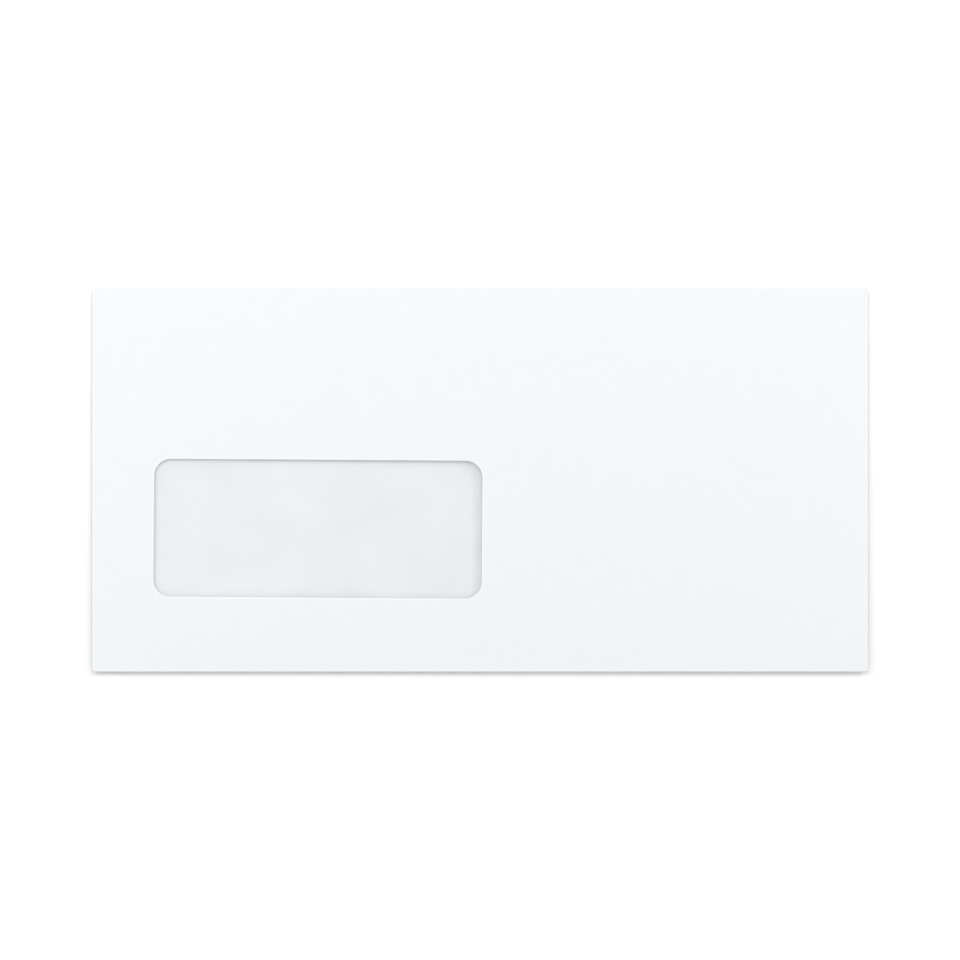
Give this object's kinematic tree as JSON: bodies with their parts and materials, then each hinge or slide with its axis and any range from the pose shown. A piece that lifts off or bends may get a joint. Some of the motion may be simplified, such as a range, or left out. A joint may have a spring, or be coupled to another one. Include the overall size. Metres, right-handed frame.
{
  "type": "paper envelope",
  "caption": "White paper window envelope, closed but not stuck, for posting a letter folded in three.",
  "frame": {"origin": "middle of the closed envelope's footprint, on the surface that it lies on", "axes": "+X along the long side, towards the right as seen from the face; +Y across, from the bottom fold towards the top fold; +Z out of the face"},
  "size_m": [0.22, 0.11, 0.0015],
  "materials": {
    "paper": "matte",
    "film": "gloss",
    "glue": "satin",
    "gum": "gloss"
  },
  "bodies": {
    "root": {"envelope_sheet": "paper", "window_film": "film", "window_glue": "glue", "left_seam_glue": "glue", "right_seam_glue": "glue", "flap_gum": "gum"}
  },
  "joints": []
}
